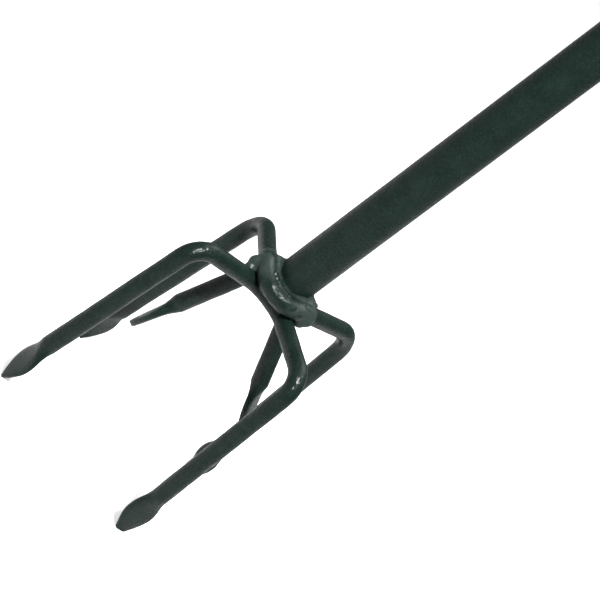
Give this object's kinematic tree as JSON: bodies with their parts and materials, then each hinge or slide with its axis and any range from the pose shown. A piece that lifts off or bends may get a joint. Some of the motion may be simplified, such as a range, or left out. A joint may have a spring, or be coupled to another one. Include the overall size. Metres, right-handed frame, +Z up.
{
  "type": "hand twist cultivator",
  "caption": "Hand twist cultivator: spear-tipped steel tines on a tube shaft, with a telescoping upper shaft, thumb screw and T handle.",
  "frame": {"origin": "on the ground under the shaft's axis, at the tips of the long tines", "axes": "+Z up the shaft towards the T handle, X along the crossbar, -Y the front, where the thumb screw is"},
  "size_m": [0.3706, 0.1288, 0.9305],
  "materials": {
    "green_paint": "dark green textured powder coat, satin, thicker and glossier over the bends and welds",
    "black_plastic": "fine-grained moulded plastic",
    "black_rubber": "matt ribbed rubber",
    "zinc_steel": "bright zinc plate with turned marks"
  },
  "bodies": {
    "tine_head": {"front_tine_rod": "green_paint", "back_tine_rod": "green_paint", "short_tine_rod": "green_paint", "weld_wrap": "green_paint", "weld_left": "green_paint", "weld_right": "green_paint", "weld_rim": "green_paint", "weld_groove": "green_paint", "lower_tube": "green_paint", "tube_bush": "black_plastic", "screw_nut": "green_paint"},
    "handle": {"upper_tube": "green_paint", "tube_glide": "black_plastic", "crossbar": "green_paint", "weld_tee_left": "green_paint", "weld_tee_right": "green_paint", "grip_left": "black_rubber", "grip_right": "black_rubber"},
    "lock_screw": {"thumb_screw": "zinc_steel", "screw_knob": "black_plastic"}
  },
  "joints": [
    {"name": "height_slide", "type": "slide", "parent": "tine_head", "child": "handle", "axis": [0, 0, 1], "range_m": [-0.12, 0.06]},
    {"name": "screw_turn", "type": "hinge", "parent": "tine_head", "child": "lock_screw", "pos_m": [0, -0.03, 0.578], "axis": [0, -1, 0], "range_deg": [0, 360]}
  ]
}
